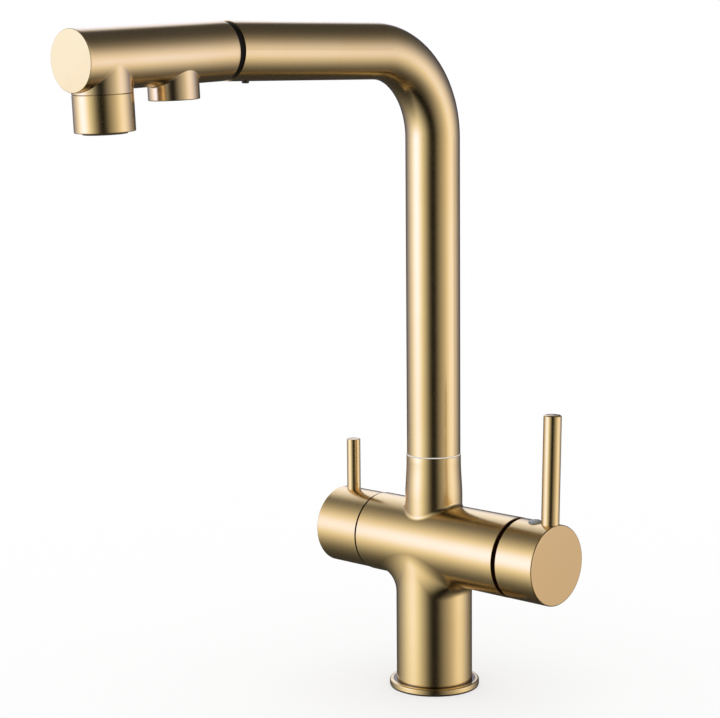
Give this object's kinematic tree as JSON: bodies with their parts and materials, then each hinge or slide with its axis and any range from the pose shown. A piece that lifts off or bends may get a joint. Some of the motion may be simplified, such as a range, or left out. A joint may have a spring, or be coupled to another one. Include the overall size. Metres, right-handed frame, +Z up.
{
  "type": "kitchen mixer tap",
  "caption": "Kitchen mixer tap: column with a crossbar, mixing lever, smaller filtered-water lever, tall square-shouldered swivel spout and a pull-out head with main and filtered outlets.",
  "frame": {"origin": "centre of the underside, where the gasket meets the worktop, on the column's axis", "axes": "+Z up along the column, the spout points along -Y, the mixing lever is at +X and the filter lever at -X"},
  "size_m": [0.1652, 0.284, 0.384],
  "materials": {
    "satin_gold": "satin champagne-gold coating on polished brass",
    "bare_brass": "turned, uncoated",
    "black_plastic": "moulded, fine matt",
    "white_nylon": "moulded, slightly translucent",
    "cream_plastic": "moulded, glossy",
    "rubber": "smooth moulded",
    "steel": "turned and drawn",
    "ceramic_disc": "lapped",
    "hose_sleeve": "fine nylon braid",
    "grey_plug": "moulded"
  },
  "bodies": {
    "body": {"base_gasket": "rubber", "base_ring": "satin_gold", "tap_body": "satin_gold", "slip_ring": "white_nylon", "swivel_spigot": "bare_brass", "swivel_o_rings": "rubber", "spout_circlip": "steel", "mixed_hose_body": "hose_sleeve", "filter_hose_body": "hose_sleeve", "cartridge_base": "black_plastic", "cartridge_seals": "rubber", "fixed_disc": "ceramic_disc", "cartridge_housing": "cream_plastic", "cartridge_nut": "bare_brass", "gap_shroud": "black_plastic", "filter_valve_body": "bare_brass", "filter_valve_seal": "rubber", "filter_fixed_disc": "ceramic_disc"},
    "spout": {"spout_tube": "satin_gold", "spout_bushing": "white_nylon", "docking_collar": "black_plastic", "collar_screw": "satin_gold", "mixed_hose_spout": "hose_sleeve", "filter_hose_spout": "hose_sleeve"},
    "head": {"head_shell": "satin_gold", "head_face": "satin_gold", "head_waterway": "white_nylon", "outlet_nipple": "bare_brass", "outlet_cap": "satin_gold", "aerator_insert": "black_plastic", "aerator_gasket": "rubber", "filter_nipple": "bare_brass", "filter_outlet_insert": "black_plastic", "docking_plug": "black_plastic", "hose_ferrules": "steel", "mixed_hose_head": "hose_sleeve", "filter_hose_head": "hose_sleeve", "non_return_valves": "cream_plastic"},
    "mixer_turn": {"cartridge_rotor": "white_nylon", "pivot_pin": "steel"},
    "mixer_slide": {"disc_slider": "cream_plastic", "moving_disc": "ceramic_disc"},
    "mixer_lever": {"cartridge_spindle": "steel", "mixer_hub": "satin_gold", "mixer_rod": "satin_gold", "mixer_plug": "grey_plug", "mixer_grub_screw": "steel"},
    "filter_lever": {"filter_hub": "satin_gold", "filter_rod": "satin_gold", "filter_spindle": "bare_brass", "filter_moving_disc": "ceramic_disc", "filter_grub_screw": "steel"}
  },
  "joints": [
    {"name": "spout_swivel", "type": "hinge", "parent": "body", "child": "spout", "pos_m": [0, 0, 0.1384], "axis": [0, 0, 1], "range_deg": [-70, 70]},
    {"name": "head_pull", "type": "slide", "parent": "spout", "child": "head", "axis": [0, -0.9988, -0.0499], "range_m": [0, 0.09]},
    {"name": "lever_temperature", "type": "hinge", "parent": "body", "child": "mixer_turn", "pos_m": [0.046, 0, 0.086], "axis": [1, 0, 0], "range_deg": [-43.4, 46.6]},
    {"name": "lever_flow", "type": "hinge", "parent": "mixer_turn", "child": "mixer_lever", "pos_m": [0.046, 0, 0.086], "axis": [0, 0.9996, -0.0279], "range_deg": [0, 18]},
    {"name": "disc_slide", "type": "slide", "parent": "mixer_turn", "child": "mixer_slide", "axis": [0, 0.0279, 0.9996], "range_m": [0, 0.0022]},
    {"name": "filter_turn", "type": "hinge", "parent": "body", "child": "filter_lever", "pos_m": [-0.05, 0, 0.086], "axis": [1, 0, 0], "range_deg": [0, 90]}
  ],
  "couplings": [
    {"joint": "disc_slide", "follows": "lever_flow", "m_per_rad": 0.00698}
  ]
}
